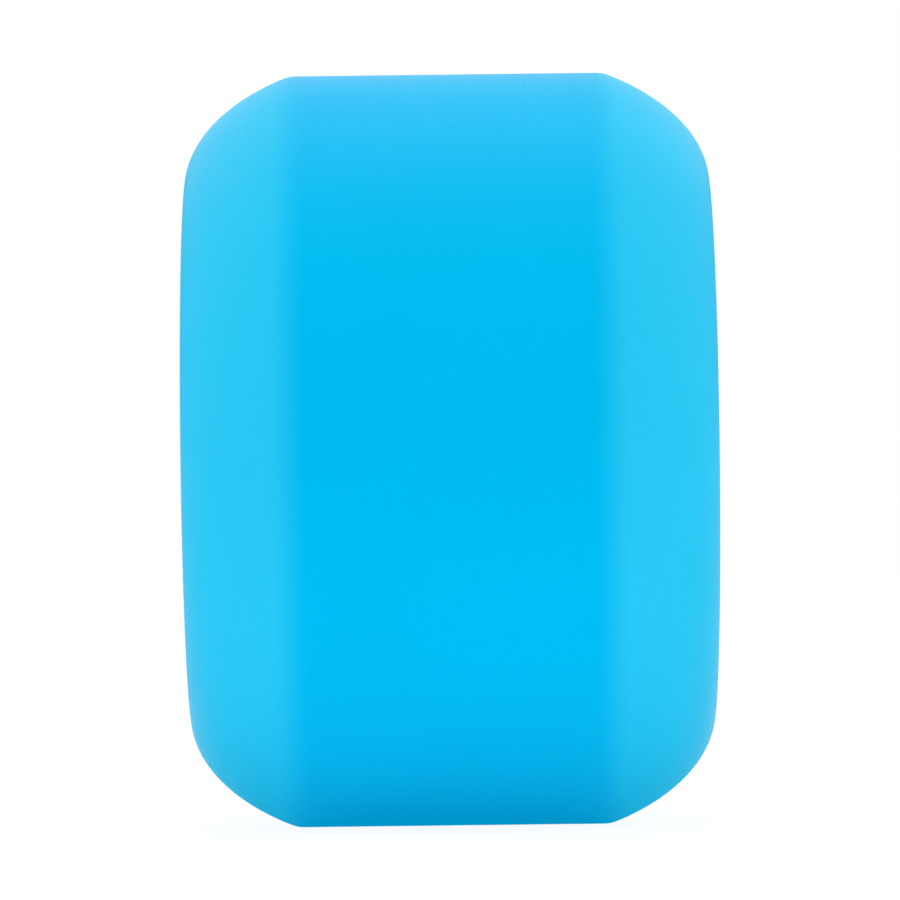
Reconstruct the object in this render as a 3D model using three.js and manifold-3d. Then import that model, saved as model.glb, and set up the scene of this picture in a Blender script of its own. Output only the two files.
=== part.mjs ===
// A cruiser skateboard wheel, as it comes off the axle: a cast urethane tyre on a moulded nylon core,
// two 608 ball bearings pressed into the core, and the spacer tube between them.
//
// Millimetres, +Z up. The origin is the wheel's centre and +Y runs along the axle line, so the wheel
// stands on its running band. The right side is +Y and the left side is -Y.

import * as THREE from 'three';
import { mergeVertices } from 'three/addons/utils/BufferGeometryUtils.js';
import Module from 'manifold-3d';

const wasm = await Module();
wasm.setup();

// Tyre
const tyreRadius = 30;
const tyreWidth = 41.6; // from side rim to side rim
const bandWidth = 25; // the flat running band in the middle of the tread
const lipDrop = 8.25; // radial height of the curved lip, from the band down to the side rim
const lipFirstPull = { along: 0.8, down: 0.305 }; // shares of the lip's reach and drop
const lipLastPull = 0.22; // share of the drop over which the lip comes square to the side rim
const rimLand = 1.9; // radial width of the flat side rim that the wheel lies on
const dishStep = 0.3; // how far the dish's floor stands outside the core's face
const dishDraft = 15; // degrees between the axle line and the dish's wall at the rim

// Core
const coreWall = 2.4; // around the bearing seats
const coreRecess = 0.6; // how far the bearings sit inside the core's face
const seatClearance = 0.03; // radial, between an outer race and its seat
const shoulderGrip = 1.2; // radial width of the shoulder that an outer race rests on
const mouthChamfer = 0.5;
const keyCount = 12;
const keyHeight = 3;
const keyWidth = 3.2;
const keyLength = 16;
const bondGap = 0.05; // round the core's barrel
const keyGap = 0.3; // round each key

// Bearing 608 and the spacer
const bearingBore = 8;
const bearingDiameter = 22;
const ballDiameter = 3.969;
const ballCount = 7;
const ballMargin = 0.4855; // axial room between a ball's side and the recess of a seal or a shield
const raceClearance = 0.09; // between a ball and its grooves
const landOffset = 1.45; // from the pitch circle to the land of each race
const raceChamfer = 0.35;
const closureLip = 0.3; // axial width of the lip that keeps a seal, or a shield and its ring, in
const closureStep = 0.5; // how far the recess mouth stands outside the land
const closureGroove = 0.3; // how much deeper the groove behind the lip is
const closureGap = 0.06; // round a seal, a shield or a snap ring
const sealRecess = 0.2; // how far the seal's face lies inside the bearing's
const sealLipGap = 0.15; // radial, over the inner race
const sealBead = 1.1; // radial width of the thick outer bead of the seal
const sealThinning = 0.3; // how much thinner the seal's web is than its bead and its lip
const shieldThickness = 0.25;
const shieldHem = 0.8; // radial width of the shield's flat edge
const shieldDish = 0.12; // how far the middle of the shield is pressed inwards
const snapRingWire = 0.3;
const snapRingWidth = 0.6; // radial
const snapRingPlay = 0.12; // radial, in its groove
const snapRingOpening = 32; // degrees
const cageWall = 1.5; // radial
const cageWeb = 0.15; // behind each pocket, on the closed side of the cage
const cageFront = 0.95; // from the ball centres to the tips of its prongs
const cagePlay = 0.1; // between a ball and its pocket
const spacerLength = 10;
const spacerPlay = 0.1; // radial, over the axle
const spacerWall = 0.9;
const spacerChamfer = 0.25;

// How finely round shapes are divided
const wheelSides = 56;
const bearingSides = 28;
const ballSides = 10;
const ballRings = 6;
const pocketSides = 12;
const pocketRings = 8;
const lipSteps = 6;
const dishSteps = 4;
const grooveSteps = 3; // in each half of a ball groove

// Sizes that follow from them
const pitchDiameter = ( bearingBore + bearingDiameter ) / 2;
const innerLandRadius = pitchDiameter / 2 - landOffset;
const outerLandRadius = pitchDiameter / 2 + landOffset;
const grooveRadius = ballDiameter / 2 + raceClearance;
const pocketFlatness = Math.cos( Math.PI / pocketSides ) * Math.cos( Math.PI / ( 2 * pocketRings ) );
const pocketRadius = ( ballDiameter / 2 + cagePlay ) / pocketFlatness; // so that its flats clear the ball
const cageBack = pocketRadius + cageWeb; // from the ball centres to the closed side
const closureFloor = ballDiameter / 2 + ballMargin; // from the ball centres to each recess's floor
const closureDepth = shieldThickness + snapRingWire + 3 * closureGap + closureLip;
const closureMouth = outerLandRadius + closureStep;
const closureRadius = closureMouth + closureGroove; // of the groove behind the lip
const bearingWidth = 2 * ( closureFloor + closureDepth ); // 7, as every 608 bearing has
const bearingOffset = ( spacerLength + bearingWidth ) / 2;
const coreWidth = spacerLength + 2 * ( bearingWidth + coreRecess );
const coreRadius = bearingDiameter / 2 + seatClearance + coreWall;

// Materials

function urethane() {

	return new THREE.MeshStandardMaterial( { color: 0x02bcf2, roughness: 0.45, metalness: 0 } );

}

function coreNylon() {

	return new THREE.MeshStandardMaterial( { color: 0xf1f3f4, roughness: 0.5, metalness: 0 } );

}

function bearingSteel() {

	return new THREE.MeshStandardMaterial( { color: 0xc3c6ca, roughness: 0.22, metalness: 1 } );

}

function ballSteel() {

	return new THREE.MeshStandardMaterial( { color: 0xd9dbde, roughness: 0.08, metalness: 1 } );

}

function cageNylon() {

	return new THREE.MeshStandardMaterial( { color: 0xe6dfc8, roughness: 0.55, metalness: 0 } );

}

function sealRubber() {

	return new THREE.MeshStandardMaterial( { color: 0x17181a, roughness: 0.6, metalness: 0 } );

}

function shieldSteel() {

	return new THREE.MeshStandardMaterial( { color: 0xb4b8bc, roughness: 0.32, metalness: 1 } );

}

function springSteel() {

	return new THREE.MeshStandardMaterial( { color: 0x8d9196, roughness: 0.35, metalness: 1 } );

}

function spacerSteel() {

	return new THREE.MeshStandardMaterial( { color: 0xaeb3b8, roughness: 0.3, metalness: 1 } );

}

// Outlines and solids. An outline is a list of points (radius, place along the axle).

function outlinePoint( radius, along ) {

	return new THREE.Vector2( radius, along );

}

// Closes half an outline, given from its outermost point round to its innermost, over the mid-plane.
function mirrored( half ) {

	const otherHalf = half.map( ( point ) => outlinePoint( point.x, - point.y ) ).reverse();
	return [ ...half, ...otherHalf ];

}

// Turns an outline about +Y. A flat between two corners faces straight down, so the ring stands still.
function turned( outline, sides ) {

	const points = THREE.ShapeUtils.isClockWise( outline ) ? [ ...outline ].reverse() : [ ...outline ];
	points.push( points[ 0 ].clone() );
	const geometry = new THREE.LatheGeometry( points, sides, Math.PI / sides, 2 * Math.PI );
	return mergedPositions( geometry );

}

function mergedPositions( geometry ) {

	geometry.deleteAttribute( 'normal' );
	geometry.deleteAttribute( 'uv' );
	return mergeVertices( geometry, 1e-5 );

}

function toSolid( geometry ) {

	const merged = mergedPositions( geometry );
	const mesh = new wasm.Mesh( {
		numProp: 3,
		vertProperties: merged.attributes.position.array,
		triVerts: Uint32Array.from( merged.index.array )
	} );
	return new wasm.Manifold( mesh );

}

function toGeometry( solid ) {

	const mesh = solid.getMesh();
	const geometry = new THREE.BufferGeometry();
	geometry.setAttribute( 'position', new THREE.BufferAttribute( mesh.vertProperties, 3 ) );
	geometry.setIndex( new THREE.BufferAttribute( mesh.triVerts, 1 ) );
	return geometry;

}

function namedMesh( name, geometry, material ) {

	geometry.computeVertexNormals();
	const mesh = new THREE.Mesh( geometry, material );
	mesh.name = name;
	return mesh;

}

// The keys round the core's barrel, one block each, made larger all round by grow.
function keyBlocks( grow ) {

	const root = coreRadius - coreWall / 2;
	const tip = coreRadius + keyHeight + grow;
	const blocks = [];

	for ( let i = 0; i < keyCount; i ++ ) {

		const block = new THREE.BoxGeometry( keyWidth + 2 * grow, keyLength + 2 * grow, tip - root );
		block.translate( 0, 0, ( root + tip ) / 2 );
		block.rotateY( 2 * Math.PI * i / keyCount );
		blocks.push( toSolid( block ) );

	}

	return blocks;

}

// Tyre: running band, two lips, two flat side rims, a dish on each side and the bore round the core

function lipOutline() {

	const halfWidth = tyreWidth / 2;
	const reach = halfWidth - bandWidth / 2;
	const rim = tyreRadius - lipDrop;
	const lip = new THREE.CubicBezierCurve(
		outlinePoint( tyreRadius, bandWidth / 2 ),
		outlinePoint( tyreRadius - lipFirstPull.down * lipDrop, bandWidth / 2 + lipFirstPull.along * reach ),
		outlinePoint( rim + lipLastPull * lipDrop, halfWidth ),
		outlinePoint( rim, halfWidth )
	);
	return lip.getPoints( lipSteps );

}

function dishOutline( boreRadius ) {

	const halfWidth = tyreWidth / 2;
	const floor = coreWidth / 2 + dishStep;
	const mouth = tyreRadius - lipDrop - rimLand;
	const foot = mouth - ( halfWidth - floor ) * Math.tan( THREE.MathUtils.degToRad( dishDraft ) );
	const dish = new THREE.QuadraticBezierCurve(
		outlinePoint( mouth, halfWidth ),
		outlinePoint( foot, floor ),
		outlinePoint( boreRadius, floor )
	);
	return dish.getPoints( dishSteps );

}

function tyre() {

	const boreRadius = coreRadius + bondGap;
	const ring = turned( mirrored( [ ...lipOutline(), ...dishOutline( boreRadius ) ] ), wheelSides );
	let solid = toSolid( ring );

	for ( const keyway of keyBlocks( keyGap ) ) {

		solid = solid.subtract( keyway );

	}

	return namedMesh( 'tyre', toGeometry( solid ), urethane() );

}

// Core: a barrel with a seat at each end, a shoulder between the seats, and keys in the urethane

function core() {

	const seatRadius = bearingDiameter / 2 + seatClearance;
	const shoulder = spacerLength / 2;
	const face = coreWidth / 2;
	const barrel = turned( mirrored( [
		outlinePoint( coreRadius, face ),
		outlinePoint( seatRadius + mouthChamfer, face ),
		outlinePoint( seatRadius, face - mouthChamfer ),
		outlinePoint( seatRadius, shoulder ),
		outlinePoint( seatRadius - shoulderGrip, shoulder )
	] ), wheelSides );
	let solid = toSolid( barrel );

	for ( const key of keyBlocks( 0 ) ) {

		solid = solid.add( key );

	}

	return namedMesh( 'core', toGeometry( solid ), coreNylon() );

}

// Bearing parts, each about the bearing's own centre. The open side of the wheel is +Y.

// Half a ball groove, from the mid-plane's side of the land out to its edge, as points on an arc.
function halfGroove( landRadius ) {

	const middle = pitchDiameter / 2;
	const deepest = landRadius > middle ? 0 : Math.PI;
	const edge = Math.acos( Math.abs( landRadius - middle ) / grooveRadius );
	const arc = [];

	for ( let i = 0; i <= grooveSteps; i ++ ) {

		const turn = edge * i / grooveSteps;
		const radius = middle + Math.cos( deepest ) * grooveRadius * Math.cos( turn );
		arc.push( outlinePoint( radius, grooveRadius * Math.sin( turn ) ) );

	}

	return arc;

}

function innerRace( side ) {

	const bore = bearingBore / 2;
	const face = bearingWidth / 2;
	const [ bottom, ...flank ] = halfGroove( innerLandRadius );
	const half = [
		...flank,
		outlinePoint( innerLandRadius, face - raceChamfer ),
		outlinePoint( innerLandRadius - raceChamfer, face ),
		outlinePoint( bore + raceChamfer, face ),
		outlinePoint( bore, face - raceChamfer )
	];
	const geometry = turned( [ bottom, ...mirrored( half ) ], bearingSides );
	return namedMesh( `${ side }_inner_race`, geometry, bearingSteel() );

}

function outerRace( side ) {

	const outside = bearingDiameter / 2;
	const face = bearingWidth / 2;
	const [ bottom, ...flank ] = halfGroove( outerLandRadius );
	const half = [
		outlinePoint( outside, face - raceChamfer ),
		outlinePoint( outside - raceChamfer, face ),
		outlinePoint( closureMouth, face ),
		outlinePoint( closureMouth, face - closureLip ),
		outlinePoint( closureRadius, face - closureLip ),
		outlinePoint( closureRadius, closureFloor ),
		outlinePoint( outerLandRadius, closureFloor ),
		...flank.reverse()
	];
	const otherHalf = half.map( ( point ) => outlinePoint( point.x, - point.y ) ).reverse();
	const geometry = turned( [ ...half, bottom, ...otherHalf ], bearingSides );
	return namedMesh( `${ side }_outer_race`, geometry, bearingSteel() );

}

// A one-piece crown cage: a ring whose pockets are open on its front, between pairs of prongs
function ballCage( side ) {

	const middle = pitchDiameter / 2;
	const inside = middle - cageWall / 2;
	const outside = middle + cageWall / 2;
	const ring = turned( [
		outlinePoint( inside, - cageFront ),
		outlinePoint( outside, - cageFront ),
		outlinePoint( outside, cageBack ),
		outlinePoint( inside, cageBack )
	], bearingSides );
	let solid = toSolid( ring );

	for ( const place of ballPlaces() ) {

		const pocket = new THREE.SphereGeometry( pocketRadius, pocketSides, pocketRings );
		pocket.translate( place.x, place.y, place.z );
		solid = solid.subtract( toSolid( pocket ) );

	}

	return namedMesh( `${ side }_ball_cage`, toGeometry( solid ), cageNylon() );

}

function ballPlaces() {

	return Array.from( { length: ballCount }, ( _, i ) => {

		const turn = 2 * Math.PI * i / ballCount;
		return new THREE.Vector3( Math.sin( turn ), 0, Math.cos( turn ) ).multiplyScalar( pitchDiameter / 2 );

	} );

}

function balls( side ) {

	return ballPlaces().map( ( place, i ) => {

		const geometry = new THREE.SphereGeometry( ballDiameter / 2, ballSides, ballRings );
		const ball = namedMesh( `${ side }_ball_${ i + 1 }`, mergedPositions( geometry ), ballSteel() );
		ball.position.copy( place );
		return ball;

	} );

}

// Rubber seal in the outer recess: a thick bead held by the recess's lip, and a web down to the inner race
function seal( side ) {

	const back = closureFloor + closureGap;
	const held = bearingWidth / 2 - closureLip - closureGap;
	const face = bearingWidth / 2 - sealRecess;
	const web = face - sealThinning;
	const outside = closureRadius - closureGap;
	const shownRadius = closureMouth - closureGap;
	const beadFoot = outside - sealBead;
	const lipRadius = innerLandRadius + sealLipGap;
	const geometry = turned( [
		outlinePoint( outside, back ),
		outlinePoint( outside, held ),
		outlinePoint( shownRadius, held ),
		outlinePoint( shownRadius, face ),
		outlinePoint( beadFoot, face ),
		outlinePoint( beadFoot - sealThinning, web ),
		outlinePoint( lipRadius + sealThinning, web ),
		outlinePoint( lipRadius, face ),
		outlinePoint( lipRadius, back )
	], bearingSides );
	return namedMesh( `${ side }_seal`, geometry, sealRubber() );

}

// Pressed steel shield in the inner recess, dished towards the balls inside its flat hem
function shield( side ) {

	const back = - closureFloor - closureGap;
	const front = back - shieldThickness;
	const outside = closureRadius - closureGap;
	const hem = outside - shieldHem;
	const inside = innerLandRadius + sealLipGap;
	const geometry = turned( [
		outlinePoint( outside, back ),
		outlinePoint( outside, front ),
		outlinePoint( hem, front ),
		outlinePoint( hem - shieldDish, front + shieldDish ),
		outlinePoint( inside, front + shieldDish ),
		outlinePoint( inside, back + shieldDish ),
		outlinePoint( hem - shieldDish, back + shieldDish ),
		outlinePoint( hem, back )
	], bearingSides );
	return namedMesh( `${ side }_shield`, geometry, shieldSteel() );

}

// Open ring of flat wire that springs into the groove over the shield
function snapRing( side ) {

	const outside = closureRadius - snapRingPlay;
	const inside = outside - snapRingWidth;
	const start = THREE.MathUtils.degToRad( snapRingOpening / 2 );
	const end = 2 * Math.PI - start;
	const outline = new THREE.Shape();
	outline.absarc( 0, 0, outside, start, end, false );
	outline.absarc( 0, 0, inside, end, start, true );
	const geometry = new THREE.ExtrudeGeometry( outline, {
		depth: snapRingWire,
		bevelEnabled: false,
		curveSegments: bearingSides / 2
	} );
	const shieldFront = closureFloor + closureGap + shieldThickness;
	geometry.rotateX( Math.PI / 2 );
	geometry.translate( 0, - shieldFront - closureGap, 0 );
	return namedMesh( `${ side }_snap_ring`, mergedPositions( geometry ), springSteel() );

}

function bearing( side ) {

	const group = new THREE.Group();
	group.add( outerRace( side ), innerRace( side ), ballCage( side ), ...balls( side ) );
	group.add( seal( side ), shield( side ), snapRing( side ) );
	return group;

}

function bearingSpacer() {

	const half = spacerLength / 2;
	const bore = bearingBore / 2 + spacerPlay;
	const outside = bore + spacerWall;
	const geometry = turned( mirrored( [
		outlinePoint( outside, half - spacerChamfer ),
		outlinePoint( outside - spacerChamfer, half ),
		outlinePoint( bore, half )
	] ), bearingSides );
	return namedMesh( 'bearing_spacer', geometry, spacerSteel() );

}

function skateWheel() {

	const wheel = new THREE.Group();
	const right = bearing( 'right' );
	const left = bearing( 'left' );
	right.position.y = bearingOffset;
	left.position.y = - bearingOffset;
	left.rotation.z = Math.PI;
	wheel.add( tyre(), core(), bearingSpacer(), right, left );
	return wheel;

}

export default skateWheel();
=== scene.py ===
import math

import bmesh
import bpy
from bpy.props import FloatProperty, FloatVectorProperty, IntProperty, PointerProperty
from bpy.types import Operator, Panel, PropertyGroup
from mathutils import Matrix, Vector
from mathutils.geometry import interpolate_bezier


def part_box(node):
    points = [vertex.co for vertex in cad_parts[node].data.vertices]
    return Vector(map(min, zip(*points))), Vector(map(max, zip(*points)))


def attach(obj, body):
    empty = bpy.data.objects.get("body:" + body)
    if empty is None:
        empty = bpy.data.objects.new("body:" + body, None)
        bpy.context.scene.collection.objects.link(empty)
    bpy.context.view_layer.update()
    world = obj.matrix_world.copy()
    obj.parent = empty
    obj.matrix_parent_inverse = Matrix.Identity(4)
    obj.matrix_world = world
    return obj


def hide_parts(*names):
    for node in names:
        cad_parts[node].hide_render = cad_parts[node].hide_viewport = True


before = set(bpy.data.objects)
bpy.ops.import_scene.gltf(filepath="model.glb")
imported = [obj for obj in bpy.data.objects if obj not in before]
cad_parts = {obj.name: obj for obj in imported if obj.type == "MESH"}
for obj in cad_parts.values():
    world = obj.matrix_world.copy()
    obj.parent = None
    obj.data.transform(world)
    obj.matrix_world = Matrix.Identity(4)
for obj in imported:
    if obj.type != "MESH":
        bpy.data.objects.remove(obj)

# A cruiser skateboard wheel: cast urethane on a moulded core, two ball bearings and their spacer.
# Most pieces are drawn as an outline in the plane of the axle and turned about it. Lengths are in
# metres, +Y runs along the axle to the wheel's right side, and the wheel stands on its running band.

bl_info = {
    "name": "Cruiser wheel",
    "version": (1, 0, 0),
    "blender": (4, 5, 0),
    "location": "View3D > Sidebar > Wheel",
    "description": "Models a skateboard wheel with its bearings round a fixed frame",
    "category": "Add Mesh",
}

MM = 0.001
WELD = 1e-6  # corners closer than this are one corner
SAME_PLACE = 2e-5  # corners closer than this lie on the same circle or face
FACET_SAG = 1e-4  # how far inside its circle the flat of a facet may lie
AXLE = (0.0, 1.0, 0.0)
SIDES = ("right", "left")
RIGHT, LEFT = SIDES
LIP_POINTS = 37
DISH_POINTS = 25
GROOVE_STEPS = 8


# Sizes read from the frame


def polar_places(node, centre=(0.0, 0.0)):
    """(distance from a line along the axle, place along the axle) of each corner of a CAD node."""
    x, z = centre
    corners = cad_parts[node].data.vertices
    return [(math.hypot(v.co.x - x, v.co.z - z), v.co.y) for v in corners]


def reach(node):
    """The inner and outer radius of a CAD node, and its lowest and highest place along the axle."""
    radii, along = zip(*polar_places(node))
    return min(radii), max(radii), min(along), max(along)


def middle(node):
    low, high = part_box(node)
    return (low + high) / 2


TYRE_BORE, TYRE_RADIUS, _, TYRE_SIDE = reach("tyre")
BAND_EDGE = max(y for r, y in polar_places("tyre") if r > TYRE_RADIUS - SAME_PLACE)
LAND_RADII = [r for r, y in polar_places("tyre") if y > TYRE_SIDE - SAME_PLACE]
LAND_OUTSIDE, LAND_INSIDE = max(LAND_RADII), min(LAND_RADII)
DISH_FLOOR = max(y for r, y in polar_places("tyre") if r < TYRE_BORE + FACET_SAG)
SHOULDER_RADIUS, _, _, CORE_FACE = reach("core")
KEY_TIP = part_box("core")[1].z
RACE_BORE, INNER_LAND, RACE_BACK, RACE_FACE = reach("right_inner_race")
_, RACE_OUTSIDE, _, _ = reach("right_outer_race")
SPACER_BORE, SPACER_OUTSIDE, _, SPACER_END = reach("bearing_spacer")
CAGE_INSIDE, CAGE_OUTSIDE, CAGE_FRONT, CAGE_BACK = reach("right_ball_cage")
_, SEAL_OUTSIDE, SEAL_BACK, SEAL_FACE = reach("right_seal")
SHIELD_INSIDE, SHIELD_OUTSIDE, SHIELD_FRONT, SHIELD_BACK = reach("right_shield")
RING_INSIDE, RING_OUTSIDE, RING_FRONT, RING_BACK = reach("right_snap_ring")
BEARING_MIDDLE = (RACE_BACK + RACE_FACE) / 2
BALLS = sorted(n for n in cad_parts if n.startswith("right_ball_") and n[-1].isdigit())
BALL_CENTRES = [middle(n) for n in BALLS]
BALL_RADIUS = (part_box(BALLS[0])[1].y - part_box(BALLS[0])[0].y) / 2
PITCH_RADIUS = math.hypot(BALL_CENTRES[0].x, BALL_CENTRES[0].z)


# Settings


class TyreSettings(PropertyGroup):
    pull_along: FloatProperty(
        name="Lip pull along", default=0.8, min=0, max=1,
        description="How far out the lip keeps the slope it starts with, as a share of its reach",
    )
    pull_down: FloatProperty(
        name="Lip pull down", default=0.305, min=0, max=1,
        description="How far the lip falls over that stretch, as a share of its drop",
    )
    last_pull: FloatProperty(
        name="Lip last pull", default=0.22, min=0, max=1,
        description="Share of the drop over which the lip comes square to the side",
    )
    band_edge_cut: FloatProperty(
        name="Band edge", default=0.45 * MM, unit="LENGTH",
        description="Width of the rounded edge between the running band and a lip",
    )
    land_edge_cut: FloatProperty(
        name="Land edge", default=0.35 * MM, unit="LENGTH",
        description="Width of the rounded edge inside each side land",
    )
    dish_draft: FloatProperty(
        name="Dish draft", default=math.radians(15), subtype="ANGLE",
        description="Angle between the axle and the dish's wall at the land",
    )
    bond_gap: FloatProperty(
        name="Bond", default=0.03 * MM, unit="LENGTH",
        description="Thickness of the bond line between the urethane and the core",
    )


class CoreSettings(PropertyGroup):
    seat_clearance: FloatProperty(
        name="Seat clearance", default=0.01 * MM, unit="LENGTH",
        description="Radial clearance of a bearing in its seat",
    )
    wall: FloatProperty(
        name="Wall", default=2.4 * MM, unit="LENGTH", description="Wall round a bearing seat",
    )
    mouth_cut: FloatProperty(
        name="Mouth", default=0.5 * MM, unit="LENGTH", description="Lead-in at the mouth of a seat",
    )
    key_count: IntProperty(name="Keys", default=12, min=3, description="Keys round the barrel")
    key_width: FloatProperty(
        name="Key width", default=3.2 * MM, unit="LENGTH", description="Width of a key",
    )
    key_length: FloatProperty(
        name="Key length", default=16 * MM, unit="LENGTH", description="Length of a key",
    )
    pin_mark: FloatProperty(
        name="Pin marks", default=0.3 * MM, unit="LENGTH",
        description="Radius of the round marks that the mould's ejector pins leave",
    )


class BearingSettings(PropertyGroup):
    groove_clearance: FloatProperty(
        name="Groove clearance", default=0.06 * MM, unit="LENGTH",
        description="Gap between a ball and its grooves",
    )
    edge_cut: FloatProperty(
        name="Race edges", default=0.35 * MM, unit="LENGTH", description="Rounded edges of a race",
    )
    land_offset: FloatProperty(
        name="Land offset", default=1.45 * MM, unit="LENGTH",
        description="From the balls' circle to the land of each race",
    )
    mouth_step: FloatProperty(
        name="Mouth step", default=0.5 * MM, unit="LENGTH",
        description="How far the mouth of a recess stands outside the land",
    )
    mouth_lip: FloatProperty(
        name="Mouth lip", default=0.3 * MM, unit="LENGTH",
        description="Width of the lip that keeps a seal or a ring in",
    )
    groove_step: FloatProperty(
        name="Recess groove", default=0.3 * MM, unit="LENGTH",
        description="How much deeper the groove behind the lip is",
    )
    ball_margin: FloatProperty(
        name="Ball margin", default=0.4855 * MM, unit="LENGTH",
        description="Room along the axle between a ball's side and a recess",
    )
    lip_gap: FloatProperty(
        name="Seal lip gap", default=0.02 * MM, unit="LENGTH",
        description="Gap between a seal's lip and the inner race",
    )
    pocket_play: FloatProperty(
        name="Pocket play", default=0.1 * MM, unit="LENGTH",
        description="Gap between a ball and its pocket",
    )


class FinishSettings(PropertyGroup):
    band_colour: FloatVectorProperty(
        name="Running band", subtype="COLOR", size=3, default=(0.0, 0.503, 0.88), min=0, max=1,
        description="Colour of the turned running band",
    )
    # The lips and sides are the band's urethane lifted towards white: a painted sheen for the light
    # they catch from the sides.
    lip_sheen_colour: FloatVectorProperty(
        name="Lips and sides", subtype="COLOR", size=3, default=(0.0205, 0.57, 0.895), min=0, max=1,
        description="Colour of the moulded skin on the lips and sides",
    )
    core_colour: FloatVectorProperty(
        name="Core", subtype="COLOR", size=3, default=(0.83, 0.85, 0.86), min=0, max=1,
        description="Colour of the nylon core",
    )
    seal_colour: FloatVectorProperty(
        name="Seals", subtype="COLOR", size=3, default=(0.012, 0.013, 0.015), min=0, max=1,
        description="Colour of the rubber seals",
    )
    cage_colour: FloatVectorProperty(
        name="Cages", subtype="COLOR", size=3, default=(0.75, 0.68, 0.5), min=0, max=1,
        description="Colour of the nylon cages",
    )


class StageSettings(PropertyGroup):
    distance: FloatProperty(
        name="Distance", default=0.6, unit="LENGTH", description="From the camera to the wheel",
    )
    view_width: FloatProperty(
        name="Field", default=72.0 * MM, unit="LENGTH",
        description="Width of the picture at the wheel's centre",
    )
    roll: FloatProperty(
        name="Roll", default=math.radians(0.7), subtype="ANGLE",
        description="How far the camera is turned about its line of sight",
    )
    floor_size: FloatProperty(
        name="Floor", default=8.0, unit="LENGTH", description="Width of the floor",
    )
    floor_tone: FloatProperty(
        name="Floor tone", default=0.5, min=0, max=1,
        description="How much light the floor returns",
    )
    floor_glow: FloatProperty(
        name="Floor glow", default=0.656, min=0, description="Light that the floor gives of itself",
    )
    near_glow: FloatProperty(
        name="Glow at the contact", default=0.62, min=0, max=1,
        description="Share of the floor's glow that is left where the wheel touches it",
    )
    shadow: FloatProperty(
        name="Shadow", default=0.15, min=0, max=1,
        description="How strongly the wheel's soft shadow shows on the floor",
    )
    even_light: FloatProperty(
        name="Even light", default=0.736, min=0, description="Soft light from all round",
    )
    back_shine: FloatProperty(
        name="Back shine", default=1.2, min=0, description="Brightness mirrored from behind",
    )
    side_shine: FloatProperty(
        name="Side shine", default=0.9, min=0, description="Brightness mirrored from the sides",
    )
    top_light: FloatProperty(
        name="Top light", default=1.32, min=0, description="Brightness of the lamp overhead",
    )
    side_light: FloatProperty(
        name="Side light", default=0.7, min=0, description="Brightness of each side lamp",
    )


# Selecting and editing


def only(*pieces):
    """Selects these objects and nothing else, the first one active."""
    bpy.ops.object.select_all(action="DESELECT")
    for piece in pieces:
        piece.select_set(True)
    bpy.context.view_layer.objects.active = pieces[0]


class Editing:
    """Edit mode on one object, with all of it selected at the start."""

    def __init__(self, piece):
        self.piece = piece

    def __enter__(self):
        only(self.piece)
        bpy.ops.object.mode_set(mode="EDIT")
        bpy.ops.mesh.select_mode(type="VERT")
        bpy.ops.mesh.select_all(action="SELECT")
        return self

    def __exit__(self, *_):
        bpy.ops.object.mode_set(mode="OBJECT")

    def pick(self, test):
        """Selects the corners whose place passes the test."""
        bpy.ops.mesh.select_all(action="DESELECT")
        mesh = bmesh.from_edit_mesh(self.piece.data)
        for corner in mesh.verts:
            corner.select_set(bool(test(corner.co)))
        mesh.select_flush(True)
        bmesh.update_edit_mesh(self.piece.data)


def start(name):
    """The primitive that was just added, named, with nothing else selected."""
    piece = bpy.context.object
    piece.name = name
    piece.data.name = name
    only(piece)
    return piece


def apply_modifier(piece, kind, **values):
    only(piece)
    modifier = piece.modifiers.new(kind.title(), kind)
    for key, value in values.items():
        setattr(modifier, key, value)
    bpy.ops.object.modifier_apply(modifier=modifier.name)


def cut(piece, *cutters, operation="DIFFERENCE"):
    """Cuts each cutter out of a piece, or joins it on, and removes the cutter."""
    for cutter in cutters:
        apply_modifier(piece, "BOOLEAN", object=cutter, operation=operation, solver="EXACT")
        bpy.data.objects.remove(cutter)
        if not piece.data.polygons:
            raise RuntimeError(f"nothing is left of {piece.name}")


def smooth(piece, angle=28):
    only(piece)
    bpy.ops.object.shade_smooth_by_angle(angle=math.radians(angle))


def settle(piece):
    """Moves a piece's place into its mesh, so that its object stands at the origin."""
    only(piece)
    bpy.ops.object.transform_apply(location=True, rotation=True, scale=True)


# Turned shapes. An outline is a list of (radius, place along the axle, rounding of the corner).


def draw_outline(name, corners):
    """A closed flat outline in the plane of the axle, as one face, drawn corner by corner."""
    bpy.ops.object.select_all(action="DESELECT")
    bpy.ops.mesh.primitive_plane_add(size=MM, location=(0, 0, 0))
    piece = start(name)
    with Editing(piece):
        bpy.ops.mesh.merge(type="CENTER")
        bpy.ops.transform.translate(value=(corners[0][0], corners[0][1], 0))
        for here, there in zip(corners, corners[1:]):
            step = (there[0] - here[0], there[1] - here[1], 0)
            bpy.ops.mesh.extrude_vertices_move(TRANSFORM_OT_translate={"value": step})
        bpy.ops.mesh.select_all(action="SELECT")
        bpy.ops.mesh.edge_face_add()
    return piece


def round_corners(piece, corners, segments):
    """Rounds each corner of an outline that asks for it."""
    for size in sorted({corner[2] for corner in corners if len(corner) > 2}):
        places = [Vector((c[0], c[1], 0)) for c in corners if len(c) > 2 and c[2] == size]
        with Editing(piece) as hand:
            hand.pick(lambda co: any((co - place).length < WELD for place in places))
            bpy.ops.mesh.bevel(offset=size, segments=segments, affect="VERTICES")


def turn(piece, steps):
    """Turns an outline about the axle, into a solid ring."""
    with Editing(piece):
        bpy.ops.mesh.delete(type="ONLY_FACE")
        bpy.ops.mesh.select_all(action="SELECT")
        bpy.ops.mesh.spin(steps=steps, angle=2 * math.pi, center=(0, 0, 0), axis=AXLE)
        bpy.ops.mesh.select_all(action="SELECT")
        bpy.ops.mesh.remove_doubles(threshold=WELD)
        bpy.ops.mesh.normals_make_consistent(inside=False)


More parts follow.
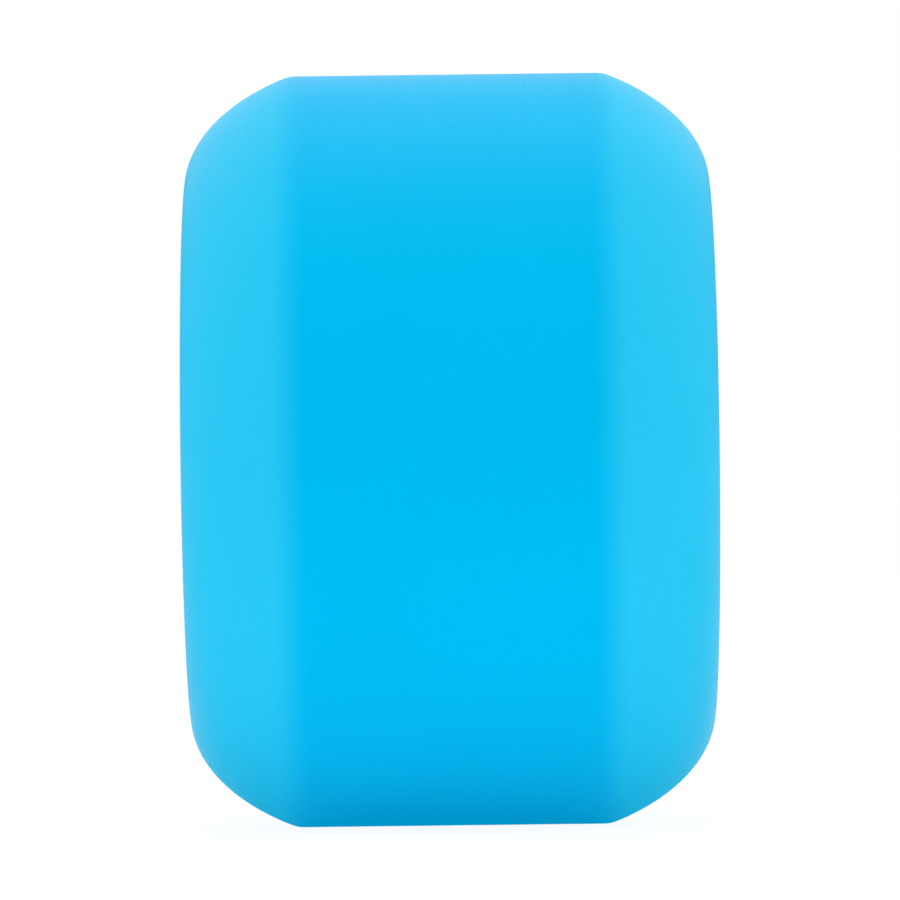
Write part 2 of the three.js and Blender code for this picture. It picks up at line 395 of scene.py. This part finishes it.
def turned(name, corners, steps, segments=4):
    piece = draw_outline(name, corners)
    round_corners(piece, corners, segments)
    turn(piece, steps)
    return piece


def both_sides(half):
    """A whole outline from its +Y half, given from the outside in."""
    return half + [(corner[0], -corner[1], *corner[2:]) for corner in reversed(half)]


def arc(centre, radius, first, last, count):
    """Points on an arc in the plane of the axle, from one angle to another."""
    angles = [first + (last - first) * i / count for i in range(count + 1)]
    return [
        (centre[0] + radius * math.cos(a), centre[1] + radius * math.sin(a)) for a in angles
    ]


def copy_left(piece, name):
    """A copy of a right-hand piece, turned half round about the upright through the centre."""
    only(piece)
    bpy.ops.object.duplicate()
    copy = bpy.context.object
    copy.name = name
    copy.data.name = name
    bpy.ops.transform.rotate(value=math.pi, orient_axis="Z", center_override=(0, 0, 0))
    settle(copy)
    return copy


def hand_over(piece, node, body, finish):
    """Gives a finished piece its finish, its body and the CAD node that it stands for."""
    piece.data.materials.clear()
    piece.data.materials.append(finish)
    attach(piece, body)
    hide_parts(node)


def hand_over_pair(piece, part, body, finish):
    """Hands over a right-hand piece and its copy on the left."""
    left = copy_left(piece, f"{LEFT}_{part}_fine")
    for side, made in ((RIGHT, piece), (LEFT, left)):
        hand_over(made, f"{side}_{part}", body.format(side=side), finish)


# Finishes


class Sheet:
    """A node tree under construction."""

    def __init__(self, tree):
        self.tree = tree

    def add(self, kind, inputs=None, **values):
        node = self.tree.nodes.new(kind)
        for key, value in values.items():
            setattr(node, key, value)
        for key, value in (inputs or {}).items():
            self.feed(node.inputs[key], value)
        return node

    def feed(self, socket, value):
        if isinstance(value, bpy.types.NodeSocket):
            self.tree.links.new(value, socket)
        else:
            socket.default_value = value

    def maths(self, operation, a, b=0.0):
        return self.add("ShaderNodeMath", {0: a, 1: b}, operation=operation).outputs[0]

    def square(self, value):
        return self.maths("MULTIPLY", value, value)

    def between(self, value, low, high, out_low=0.0, out_high=1.0):
        """Goes smoothly from one value to another while the input goes from low to high."""
        limits = {"From Min": low, "From Max": high, "To Min": out_low, "To Max": out_high}
        node = self.add(
            "ShaderNodeMapRange", {"Value": value, **limits}, interpolation_type="SMOOTHSTEP"
        )
        return node.outputs["Result"]

    def background(self, strength, name):
        node = self.add("ShaderNodeBackground", {"Color": (1, 1, 1, 1), "Strength": strength})
        node.name = name
        return node.outputs[0]


class Finish(Sheet):
    """A material under construction. Its patterns read the piece's own place, in metres."""

    def __init__(self, name, colour, roughness, metallic=0.0, specular=0.5):
        self.material = bpy.data.materials.new(name)
        self.material.use_nodes = True
        super().__init__(self.material.node_tree)
        self.shader = self.tree.nodes["Principled BSDF"]
        self.shader.inputs["Base Color"].default_value = (*colour, 1)
        self.shader.inputs["Roughness"].default_value = roughness
        self.shader.inputs["Metallic"].default_value = metallic
        self.shader.inputs["Specular IOR Level"].default_value = specular
        self.place = self.add("ShaderNodeTexCoord").outputs["Object"]
        axes = self.add("ShaderNodeSeparateXYZ", {"Vector": self.place})
        self.along = axes.outputs["Y"]
        self.across = axes.outputs["X"]
        squares = self.maths("ADD", self.square(axes.outputs["X"]), self.square(axes.outputs["Z"]))
        self.radius = self.maths("SQRT", squares)
        self.normal = None

    def noise(self, scale, detail):
        inputs = {"Vector": self.place, "Scale": scale, "Detail": detail}
        return self.add("ShaderNodeTexNoise", inputs).outputs["Fac"]

    def turning(self, scale, detail=2.0):
        """Fine rings about the axle, as a lathe tool or a grinding wheel leaves."""
        track = self.maths("ADD", self.along, self.radius)
        inputs = {"W": track, "Scale": scale, "Detail": detail}
        return self.add("ShaderNodeTexNoise", inputs, noise_dimensions="1D").outputs["Fac"]

    def mix(self, share, a, b):
        node = self.add("ShaderNodeMix", data_type="RGBA")
        self.feed(node.inputs[0], share)
        self.feed(node.inputs[6], a)
        self.feed(node.inputs[7], b)
        return node.outputs[2]

    def bump(self, height, depth):
        """Adds relief of a depth in metres on top of the relief that is there."""
        node = self.add("ShaderNodeBump", {"Height": height, "Distance": depth})
        if self.normal:
            self.feed(node.inputs["Normal"], self.normal)
        self.normal = node.outputs["Normal"]
        self.feed(self.shader.inputs["Normal"], self.normal)

    def set(self, name, value):
        self.feed(self.shader.inputs[name], value)


def shade(colour, amount):
    return (*(min(1.0, channel * amount) for channel in colour), 1)


def urethane_finish():
    """Satin cast urethane: moulded on the lips and sides, finely turned on the running band. The
    lips and sides are also painted lighter, a painted sheen for the light they catch from the sides.
    """
    colours = bpy.context.scene.wheel_finish
    finish = Finish("cast_urethane", colours.band_colour, 0.45, specular=0.07)
    finish.shader.inputs["Specular Tint"].default_value = shade(colours.band_colour, 1.0)
    from_middle = finish.maths("ABSOLUTE", finish.along)
    blend = 1.6 * MM
    # Share of the lips and sides, from the band's edge out: there the colour takes the painted
    # sheen, and the turning marks stop.
    skin_and_sheen = finish.between(from_middle, BAND_EDGE - blend, BAND_EDGE + blend)
    cloud = finish.between(finish.noise(70, 2), 0.35, 0.65)
    band = finish.mix(cloud, shade(colours.band_colour, 0.99), shade(colours.band_colour, 1.01))
    lip = finish.mix(cloud, shade(colours.lip_sheen_colour, 0.99), shade(colours.lip_sheen_colour, 1.01))
    # The band's own colour on the running band, and a painted sheen over the same urethane on the
    # lips and sides.
    finish.set("Base Color", finish.mix(skin_and_sheen, band, lip))
    speckle = finish.noise(2600, 2)
    finish.set("Roughness", finish.between(speckle, 0.3, 0.7, 0.4, 0.5))
    marks = finish.maths("MULTIPLY", finish.turning(5200), finish.maths("SUBTRACT", 1.0, skin_and_sheen))
    finish.bump(marks, 0.01 * MM)
    finish.bump(finish.noise(420, 3), 0.012 * MM)
    return finish.material


def nylon_finish(name, colour, roughness):
    """Moulded nylon with a fine spark-eroded grain."""
    finish = Finish(name, colour, roughness)
    cloud = finish.between(finish.noise(260, 2), 0.35, 0.65)
    finish.set("Base Color", finish.mix(cloud, shade(colour, 0.96), shade(colour, 1.02)))
    grain = finish.noise(5200, 3)
    finish.set("Roughness", finish.between(grain, 0.3, 0.7, roughness - 0.06, roughness + 0.06))
    finish.bump(grain, 0.01 * MM)
    return finish.material


def steel_finish(name, colour, roughness, grind=14000, depth=0.0015 * MM):
    """Steel with fine rings about the axle where it was ground, turned or pressed."""
    finish = Finish(name, colour, roughness, metallic=1.0)
    rings = finish.turning(grind, 4)
    haze = finish.noise(900, 3)
    tone = finish.between(haze, 0.3, 0.7)
    finish.set("Base Color", finish.mix(tone, shade(colour, 0.93), shade(colour, 1.04)))
    half_rings = finish.maths("MULTIPLY", rings, 0.5)
    half_haze = finish.maths("MULTIPLY", haze, 0.5)
    uneven = finish.maths("ADD", half_rings, half_haze)
    finish.set("Roughness", finish.between(uneven, 0.3, 0.7, roughness * 0.75, roughness * 1.3))
    finish.bump(rings, depth)
    return finish.material


def polished_finish(name, colour, roughness):
    """Lapped steel with the faintest clouding."""
    finish = Finish(name, colour, roughness, metallic=1.0)
    haze = finish.noise(1500, 4)
    finish.set("Roughness", finish.between(haze, 0.35, 0.65, roughness * 0.6, roughness * 1.6))
    finish.set("Base Color", finish.mix(haze, shade(colour, 0.96), shade(colour, 1.02)))
    return finish.material


def rubber_finish(name, colour, roughness):
    """Moulded nitrile rubber: matt, with a fine bloom."""
    finish = Finish(name, colour, roughness, specular=0.4)
    bloom = finish.between(finish.noise(600, 4), 0.4, 0.75)
    finish.set("Base Color", finish.mix(bloom, (*colour, 1), shade(colour, 1.9)))
    grain = finish.noise(7000, 3)
    finish.set("Roughness", finish.between(grain, 0.3, 0.7, roughness - 0.08, roughness + 0.08))
    finish.bump(grain, 0.008 * MM)
    return finish.material


# The tyre and the core


def lip_outline(settings):
    """The curved lip, from the running band's edge out to the side land."""
    drop = TYRE_RADIUS - LAND_OUTSIDE
    width = TYRE_SIDE - BAND_EDGE
    first_pull = (TYRE_RADIUS - settings.pull_down * drop, BAND_EDGE + settings.pull_along * width)
    points = interpolate_bezier(
        Vector((TYRE_RADIUS, BAND_EDGE)),
        Vector(first_pull),
        Vector((LAND_OUTSIDE + settings.last_pull * drop, TYRE_SIDE)),
        Vector((LAND_OUTSIDE, TYRE_SIDE)),
        LIP_POINTS,
    )
    edge, *rest = [tuple(point) for point in points]
    return [(*edge, settings.band_edge_cut), *rest[1:]]


def dish_outline(settings, bore):
    """The dish, from inside the side land down to the core."""
    wall = (TYRE_SIDE - DISH_FLOOR) * math.tan(settings.dish_draft)
    mouth = Vector((LAND_INSIDE, TYRE_SIDE))
    foot = Vector((LAND_INSIDE - wall, DISH_FLOOR))
    inner = Vector((bore, DISH_FLOOR))
    pulls = (mouth.lerp(foot, 2 / 3), inner.lerp(foot, 2 / 3))
    points = interpolate_bezier(mouth, *pulls, inner, DISH_POINTS)
    edge, *rest = [tuple(point) for point in points]
    return [(*edge, settings.land_edge_cut), *rest]


def around_axle(piece, count, first=0.0):
    """Copies of a piece spaced evenly about the axle, joined into one object."""
    pieces = []
    for i in range(count):
        only(piece)
        bpy.ops.object.duplicate()
        turn_by = first + 2 * math.pi * i / count
        bpy.ops.transform.rotate(value=turn_by, orient_axis="Y", center_override=(0, 0, 0))
        settle(bpy.context.object)
        pieces.append(bpy.context.object)
    bpy.data.objects.remove(piece)
    only(*pieces)
    bpy.ops.object.join()
    return bpy.context.object


def key_blocks(name, grow):
    """Rounded blocks round the core's barrel, as one object, larger all round by grow."""
    core = bpy.context.scene.wheel_core
    root = RACE_OUTSIDE + core.wall / 2
    tip = KEY_TIP + grow
    centre = (0, 0, (root + tip) / 2)
    rounding = 0.35 * MM
    bpy.ops.object.select_all(action="DESELECT")
    bpy.ops.mesh.primitive_cube_add(size=1, location=centre)
    block = start(name)
    with Editing(block):
        size = (core.key_width + 2 * grow, core.key_length + 2 * grow, tip - root)
        bpy.ops.transform.resize(value=size, center_override=centre)
        bpy.ops.mesh.bevel(offset=rounding, segments=3, affect="EDGES")
    settle(block)
    return around_axle(block, core.key_count)


class WHEEL_OT_tyre(Operator):
    """Turn the cast urethane tyre and cut its keyways"""

    bl_idname = "wheel.tyre"
    bl_label = "Tyre"

    def execute(self, context):
        settings = context.scene.wheel_tyre
        core = context.scene.wheel_core
        bore = RACE_OUTSIDE + core.seat_clearance + core.wall + settings.bond_gap
        rows = (0.3, 0.6, 0.85, 0.95)
        band = [(TYRE_RADIUS, BAND_EDGE * share) for share in rows]
        half = [*band, *lip_outline(settings), *dish_outline(settings, bore)]
        tyre = turned("tyre_fine", both_sides(half), steps=256, segments=4)
        cut(tyre, key_blocks("keyways", settings.bond_gap))
        smooth(tyre, angle=40)
        hand_over(tyre, "tyre", "wheel", urethane_finish())
        return {"FINISHED"}


def pin_marks(settings, side):
    """Cutters for the shallow round marks of the ejector pins in one face of the core."""
    up_the_wall = 0.575
    length = 0.9 * MM
    rounding = 0.04 * MM
    bpy.ops.object.select_all(action="DESELECT")
    bpy.ops.mesh.primitive_cylinder_add(
        vertices=24,
        radius=settings.pin_mark,
        depth=length,
        location=(0, side * CORE_FACE, RACE_OUTSIDE + settings.wall * up_the_wall),
        rotation=(math.pi / 2, 0, 0),
    )
    mark = start("pin_mark")
    settle(mark)
    with Editing(mark) as hand:
        hand.pick(lambda co: abs(co.y) < CORE_FACE)
        bpy.ops.mesh.bevel(offset=rounding, segments=2, affect="EDGES")
    return around_axle(mark, settings.key_count // 2, math.pi / settings.key_count)


class WHEEL_OT_core(Operator):
    """Turn the moulded core and join its keys"""

    bl_idname = "wheel.core"
    bl_label = "Core"

    def execute(self, context):
        settings = context.scene.wheel_core
        seat = RACE_OUTSIDE + settings.seat_clearance
        outside = seat + settings.wall
        mouth = seat + settings.mouth_cut
        sunk = CORE_FACE - 0.22 * MM
        slope = 0.12 * MM
        outer_rim = outside - 0.5 * MM
        inner_rim = mouth + 0.3 * MM
        crisp = 0.06 * MM
        eased = 0.12 * MM
        half = [
            (outside, CORE_FACE, 0.3 * MM),
            (outer_rim, CORE_FACE, crisp),
            (outer_rim - slope, sunk, crisp),
            (inner_rim + slope, sunk, crisp),
            (inner_rim, CORE_FACE, crisp),
            (mouth, CORE_FACE, eased),
            (seat, CORE_FACE - settings.mouth_cut, eased),
            (seat, RACE_BACK, 0.1 * MM),
            (SHOULDER_RADIUS, RACE_BACK, 0.2 * MM),
        ]
        core = turned("core_fine", both_sides(half), steps=192)
        cut(core, key_blocks("keys", 0.0), operation="UNION")
        cut(core, pin_marks(settings, 1), pin_marks(settings, -1))
        smooth(core)
        finish = nylon_finish("moulded_core", context.scene.wheel_finish.core_colour, 0.42)
        hand_over(core, "core", "wheel", finish)
        return {"FINISHED"}


# The bearings


def groove(outer_race):
    """Points of half a ball groove, from its bottom to the edge of the land."""
    settings = bpy.context.scene.wheel_bearing
    radius = BALL_RADIUS + settings.groove_clearance
    edge = math.acos(settings.land_offset / radius)
    centre = (PITCH_RADIUS, 0.0)
    if outer_race:
        return arc(centre, radius, 0.0, edge, GROOVE_STEPS)
    return arc(centre, radius, math.pi, math.pi - edge, GROOVE_STEPS)


def moved_along(corners):
    """An outline drawn about a bearing's middle, moved to the right-hand bearing."""
    return [(corner[0], corner[1] + BEARING_MIDDLE, *corner[2:]) for corner in corners]


class WHEEL_OT_races(Operator):
    """Turn the ground inner and outer races of both bearings"""

    bl_idname = "wheel.races"
    bl_label = "Races"

    def execute(self, context):
        settings = context.scene.wheel_bearing
        finish = steel_finish("ground_races", (0.46, 0.47, 0.49), 0.22)
        face = RACE_FACE - BEARING_MIDDLE
        edge = settings.edge_cut
        bottom, *flank = groove(outer_race=False)
        half = [*flank, (INNER_LAND, face, edge), (RACE_BORE, face, edge)]
        inner = turned("right_inner_race_fine", moved_along([bottom, *both_sides(half)]), steps=128)
        smooth(inner, angle=32)
        hand_over_pair(inner, "inner_race", "axle_set", finish)

        land = PITCH_RADIUS + settings.land_offset
        mouth = land + settings.mouth_step
        deep = mouth + settings.groove_step
        floor = BALL_RADIUS + settings.ball_margin
        bottom, *flank = groove(outer_race=True)
        half = [
            (RACE_OUTSIDE, face, edge),
            (mouth, face, 0.1 * MM),
            (mouth, face - settings.mouth_lip, 0.05 * MM),
            (deep, face - settings.mouth_lip),
            (deep, floor),
            (land, floor, 0.08 * MM),
            *reversed(flank),
        ]
        other = [(corner[0], -corner[1], *corner[2:]) for corner in reversed(half)]
        outer = turned("right_outer_race_fine", moved_along([*half, bottom, *other]), steps=160)
        smooth(outer, angle=32)
        hand_over_pair(outer, "outer_race", "wheel", finish)
        return {"FINISHED"}


def ball(name, radius, cuts):
    """A ball: a cube divided evenly, rounded and cast to the exact sphere."""
    bpy.ops.object.select_all(action="DESELECT")
    bpy.ops.mesh.primitive_cube_add(size=2 * radius, location=(0, 0, 0))
    piece = start(name)
    with Editing(piece):
        bpy.ops.mesh.subdivide(number_cuts=cuts, smoothness=0.0)
    sphere = {"cast_type": "SPHERE", "factor": 1.0, "radius": 0.0, "size": radius}
    apply_modifier(piece, "CAST", use_radius_as_size=False, **sphere)
    return piece


class WHEEL_OT_balls(Operator):
    """Make the balls and place each in its pocket"""

    bl_idname = "wheel.balls"
    bl_label = "Balls"

    def execute(self, context):
        finish = polished_finish("lapped_balls", (0.78, 0.79, 0.81), 0.07)
        model = ball("ball", BALL_RADIUS, cuts=13)
        smooth(model, angle=180)
        for side in SIDES:
            for i in range(len(BALLS)):
                node = f"{side}_ball_{i + 1}"
                only(model)
                bpy.ops.object.duplicate()
                piece = start(f"{node}_fine")
                bpy.ops.transform.translate(value=middle(node))
                settle(piece)
                hand_over(piece, node, node, finish)
        bpy.data.objects.remove(model)
        return {"FINISHED"}


class WHEEL_OT_cages(Operator):
    """Make the one-piece crown cages"""

    bl_idname = "wheel.cages"
    bl_label = "Cages"

    def execute(self, context):
        settings = context.scene.wheel_bearing
        edge = 0.12 * MM
        half = [
            (CAGE_OUTSIDE, CAGE_FRONT, edge),
            (CAGE_OUTSIDE, CAGE_BACK, edge),
            (CAGE_INSIDE, CAGE_BACK, edge),
            (CAGE_INSIDE, CAGE_FRONT, edge),
        ]
        cage = turned("right_ball_cage_fine", half, steps=168, segments=3)
        pockets = []
        for i, centre in enumerate(BALL_CENTRES):
            pocket = ball(f"pocket_{i}", BALL_RADIUS + settings.pocket_play, cuts=9)
            bpy.ops.transform.translate(value=centre)
            settle(pocket)
            pockets.append(pocket)
            pockets.append(prong_gap(i))
        cut(cage, *pockets)
        smooth(cage)
        finish = nylon_finish("moulded_cage", context.scene.wheel_finish.cage_colour, 0.5)
        hand_over_pair(cage, "ball_cage", "{side}_cage", finish)
        return {"FINISHED"}


def prong_gap(i):
    """A cutter for the gap between the prongs of two neighbouring pockets."""
    step = 2 * math.pi / len(BALLS)
    depth = BEARING_MIDDLE - CAGE_FRONT + 0.5 * MM
    width = 0.9 * MM
    through = 4 * MM
    rounding = 0.25 * MM
    centre = (0, CAGE_FRONT, PITCH_RADIUS)
    bpy.ops.object.select_all(action="DESELECT")
    bpy.ops.mesh.primitive_cube_add(size=1, location=centre)
    gap = start(f"prong_gap_{i}")
    with Editing(gap):
        bpy.ops.transform.resize(value=(width, 2 * depth, through), center_override=centre)
        bpy.ops.mesh.bevel(offset=rounding, segments=3, affect="EDGES")
    settle(gap)
    bpy.ops.transform.rotate(value=(i + 0.5) * step, orient_axis="Y", center_override=(0, 0, 0))
    settle(gap)
    return gap


class WHEEL_OT_seals(Operator):
    """Turn the rubber seals on the outer faces"""

    bl_idname = "wheel.seals"
    bl_label = "Seals"

    def execute(self, context):
        settings = context.scene.wheel_bearing
        mouth = PITCH_RADIUS + settings.land_offset + settings.mouth_step
        held = RACE_FACE - settings.mouth_lip
        shown = mouth - 0.02 * MM
        bead = SEAL_OUTSIDE - 1.1 * MM
        web = SEAL_FACE - 0.36 * MM
        lip = INNER_LAND + settings.lip_gap
        soft = 0.1 * MM
        rib = 0.15 * MM
        outline = [
            (SEAL_OUTSIDE, SEAL_BACK, soft),
            (SEAL_OUTSIDE, held - 0.04 * MM, soft),
            (shown, held - 0.04 * MM),
            (shown, SEAL_FACE, soft),
            (bead, SEAL_FACE, soft),
            (bead - 0.15 * MM, web, soft / 2),
        ]
        for place in (bead - 0.75 * MM, bead - 1.4 * MM):
            outline += [
                (place + 1.5 * rib, web, rib / 3),
                (place + rib / 2, web + rib, rib / 3),
                (place - rib / 2, web + rib, rib / 3),
                (place - 1.5 * rib, web, rib / 3),
            ]
        outline += [
            (lip + 0.4 * MM, web, soft / 2),
            (lip + 0.2 * MM, SEAL_FACE - 0.05 * MM, soft / 2),
            (lip, SEAL_FACE - 0.1 * MM, soft / 2),
            (lip, SEAL_BACK + 0.2 * MM, soft / 2),
            (lip + 0.15 * MM, SEAL_BACK, soft / 2),
        ]
        seal = turned("right_seal_fine", outline, steps=160)
        smooth(seal, angle=35)
        finish = rubber_finish("moulded_seal", context.scene.wheel_finish.seal_colour, 0.5)
        hand_over_pair(seal, "seal", "wheel", finish)
        return {"FINISHED"}


class WHEEL_OT_shields(Operator):
    """Press the steel shields on the inner faces"""

    bl_idname = "wheel.shields"
    bl_label = "Shields"

    def execute(self, context):
        gauge = 0.25 * MM
        dish = SHIELD_BACK - SHIELD_FRONT - gauge
        hem = SHIELD_OUTSIDE - 0.8 * MM
        bend = 0.05 * MM
        front = [
            (SHIELD_OUTSIDE, SHIELD_FRONT, bend),
            (hem, SHIELD_FRONT, bend),
            (hem - dish, SHIELD_FRONT + dish, bend),
            (SHIELD_INSIDE, SHIELD_FRONT + dish, bend),
        ]
        back = [(corner[0], corner[1] + gauge, bend) for corner in reversed(front)]
        shield = turned("right_shield_fine", [*front, *back], steps=144)
        smooth(shield, angle=35)
        finish = steel_finish("pressed_shield", (0.42, 0.43, 0.44), 0.3, grind=9000)
        hand_over_pair(shield, "shield", "wheel", finish)
        return {"FINISHED"}


class WHEEL_OT_snap_rings(Operator):
    """Bend the open snap rings that hold the shields"""

    bl_idname = "wheel.snap_rings"
    bl_label = "Snap rings"

    def execute(self, context):
        edge = 0.08 * MM
        corners = [
            (RING_OUTSIDE, RING_FRONT, edge),
            (RING_OUTSIDE, RING_BACK, edge),
            (RING_INSIDE, RING_BACK, edge),
            (RING_INSIDE, RING_FRONT, edge),
        ]
        opening = math.radians(32)
        ring = draw_outline("right_snap_ring_fine", corners)
        round_corners(ring, corners, 3)
        with Editing(ring):
            bpy.ops.transform.rotate(value=opening / 2, orient_axis="Y", center_override=(0, 0, 0))
            bpy.ops.mesh.spin(
                steps=120, angle=2 * math.pi - opening, center=(0, 0, 0), axis=AXLE
            )
            bpy.ops.mesh.select_all(action="SELECT")
            bpy.ops.mesh.remove_doubles(threshold=WELD)
            bpy.ops.mesh.normals_make_consistent(inside=False)
        smooth(ring, angle=35)
        finish = steel_finish("drawn_ring", (0.36, 0.37, 0.39), 0.32, grind=11000)
        hand_over_pair(ring, "snap_ring", "wheel", finish)
        return {"FINISHED"}


class WHEEL_OT_spacer(Operator):
    """Turn the spacer tube between the inner races"""

    bl_idname = "wheel.spacer"
    bl_label = "Spacer"

    def execute(self, context):
        half = [
            (SPACER_OUTSIDE, SPACER_END, 0.2 * MM),
            (SPACER_BORE, SPACER_END, 0.15 * MM),
        ]
        spacer = turned("bearing_spacer_fine", both_sides(half), steps=128)
        smooth(spacer, angle=35)
        colour = (0.5, 0.51, 0.52)
        finish = steel_finish("turned_spacer", colour, 0.3, grind=5000, depth=0.004 * MM)
        hand_over(spacer, "bearing_spacer", "axle_set", finish)
        return {"FINISHED"}


# The stage


def aim(thing, target):
    """Turns a lamp or a camera to look at a point."""
    thing.rotation_euler = (Vector(target) - thing.location).to_track_quat("-Z", "Y").to_euler()


def softbox(name, place, size, radiance, mirrored_only=False):
    """A large soft lamp that looks at the wheel and that the camera doesn't see."""
    bpy.ops.object.light_add(type="AREA", location=place)
    lamp = bpy.context.object
    lamp.name = name
    lamp.data.shape = "RECTANGLE"
    lamp.data.size, lamp.data.size_y = size
    lamp.data.energy = math.pi * size[0] * size[1] * radiance
    lamp.visible_camera = False
    lamp.visible_diffuse = not mirrored_only
    aim(lamp, (0, 0, 0))


def sky(settings):
    """Even white light from all round, hidden from glossy rays. The camera sees plain white."""
    world = bpy.data.worlds.new("studio")
    bpy.context.scene.world = world
    world.cycles_visibility.glossy = False
    world.use_nodes = True
    sheet = Sheet(world.node_tree)
    ray = sheet.add("ShaderNodeLightPath")
    even = sheet.background(settings.even_light, "even")
    seen = sheet.background(1.0, "seen")
    shown = sheet.add("ShaderNodeMixShader", {0: ray.outputs["Is Camera Ray"], 1: even, 2: seen})
    sheet.feed(world.node_tree.nodes["World Output"].inputs["Surface"], shown.outputs[0])


def floor(settings, height):
    """A white floor. What the camera sees of it and the light that it gives are set apart.

    Close to where the wheel touches it, that light is dimmer, and it has no red, as if the wheel
    had coloured it.
    """
    bpy.ops.object.select_all(action="DESELECT")
    bpy.ops.mesh.primitive_plane_add(size=settings.floor_size, location=(0, 0, height))
    plane = start("floor")
    finish = Finish("floor", (1, 1, 1), 0.9, specular=0.0)
    ray = finish.add("ShaderNodeLightPath").outputs["Is Camera Ray"]
    tone = finish.between(ray, 0, 1, settings.floor_tone, settings.shadow)
    colour = finish.add("ShaderNodeCombineColor", {0: tone, 1: tone, 2: tone})
    finish.set("Base Color", colour.outputs[0])
    contact = (8 * MM, 40 * MM)
    from_contact = finish.maths("ABSOLUTE", finish.across)
    near = settings.near_glow * settings.floor_glow
    glow = finish.between(from_contact, *contact, near, settings.floor_glow)
    past_side = finish.between(finish.maths("ABSOLUTE", finish.along), TYRE_SIDE, 2 * TYRE_SIDE)
    away = finish.maths("MAXIMUM", finish.between(from_contact, *contact), past_side)
    red = finish.maths("MAXIMUM", ray, away)
    tint = finish.add("ShaderNodeCombineColor", {0: red, 1: 1, 2: 1})
    finish.set("Emission Color", tint.outputs[0])
    given = finish.maths("MULTIPLY", glow, finish.maths("SUBTRACT", 1.0, ray))
    just_white = 1.02
    seen = finish.maths("MULTIPLY", ray, just_white - settings.shadow * settings.even_light)
    finish.set("Emission Strength", finish.maths("ADD", given, seen))
    plane.data.materials.append(finish.material)


class WHEEL_OT_stage(Operator):
    """Set the floor, the soft lamps and the camera"""

    bl_idname = "wheel.stage"
    bl_label = "Stage"

    def execute(self, context):
        settings = context.scene.wheel_stage
        sky(settings)
        floor(settings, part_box("tyre")[0].z)
        softbox("top_box", (-0.1, 0.0, 0.9), (0.8, 0.8), settings.top_light)
        softbox("back_card", (-1.0, 0.0, 0.75), (1.6, 1.4), settings.back_shine, mirrored_only=True)
        for side in (-1, 1):
            softbox(f"side_box_{side}", (0.2, 0.8 * side, 0.45), (0.7, 0.5), settings.side_light)
            place = (0.0, 1.0 * side, 0.6)
            softbox(f"side_card_{side}", place, (2.4, 1.2), settings.side_shine, mirrored_only=True)
        sensor = 36.0
        camera = bpy.data.cameras.new("camera")
        camera.sensor_width = sensor
        camera.lens = sensor * settings.distance / settings.view_width
        camera.clip_start = 0.01
        camera.clip_end = 100
        eye = bpy.data.objects.new("camera", camera)
        context.scene.collection.objects.link(eye)
        eye.location = (settings.distance, 0, 0)
        aim(eye, (0, 0, 0))
        eye.rotation_euler.rotate_axis("Z", -settings.roll)
        context.scene.camera = eye
        context.scene.view_settings.view_transform = "Standard"
        return {"FINISHED"}


class WHEEL_PT_panel(Panel):
    """The wheel's pieces, in the order that they are made"""

    bl_label = "Cruiser wheel"
    bl_idname = "WHEEL_PT_panel"
    bl_space_type = "VIEW_3D"
    bl_region_type = "UI"
    bl_category = "Wheel"

    def draw(self, context):
        for piece in PIECES:
            self.layout.operator(piece.bl_idname)
        for name in SETTINGS:
            box = self.layout.box()
            group = getattr(context.scene, name)
            for key in type(group).__annotations__:
                box.prop(group, key)


PIECES = (
    WHEEL_OT_tyre,
    WHEEL_OT_core,
    WHEEL_OT_races,
    WHEEL_OT_balls,
    WHEEL_OT_cages,
    WHEEL_OT_seals,
    WHEEL_OT_shields,
    WHEEL_OT_snap_rings,
    WHEEL_OT_spacer,
    WHEEL_OT_stage,
)
SETTINGS = {
    "wheel_tyre": TyreSettings,
    "wheel_core": CoreSettings,
    "wheel_bearing": BearingSettings,
    "wheel_finish": FinishSettings,
    "wheel_stage": StageSettings,
}


def register():
    for group in SETTINGS.values():
        bpy.utils.register_class(group)
    for name, group in SETTINGS.items():
        setattr(bpy.types.Scene, name, PointerProperty(type=group))
    for piece in PIECES:
        bpy.utils.register_class(piece)
    bpy.utils.register_class(WHEEL_PT_panel)


def unregister():
    bpy.utils.unregister_class(WHEEL_PT_panel)
    for piece in reversed(PIECES):
        bpy.utils.unregister_class(piece)
    for name, group in reversed(SETTINGS.items()):
        delattr(bpy.types.Scene, name)
        bpy.utils.unregister_class(group)


def main():
    register()
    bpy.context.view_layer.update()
    for piece in PIECES:
        section, name = piece.bl_idname.split(".")
        getattr(getattr(bpy.ops, section), name)()


if __name__ == "__main__":
    main()
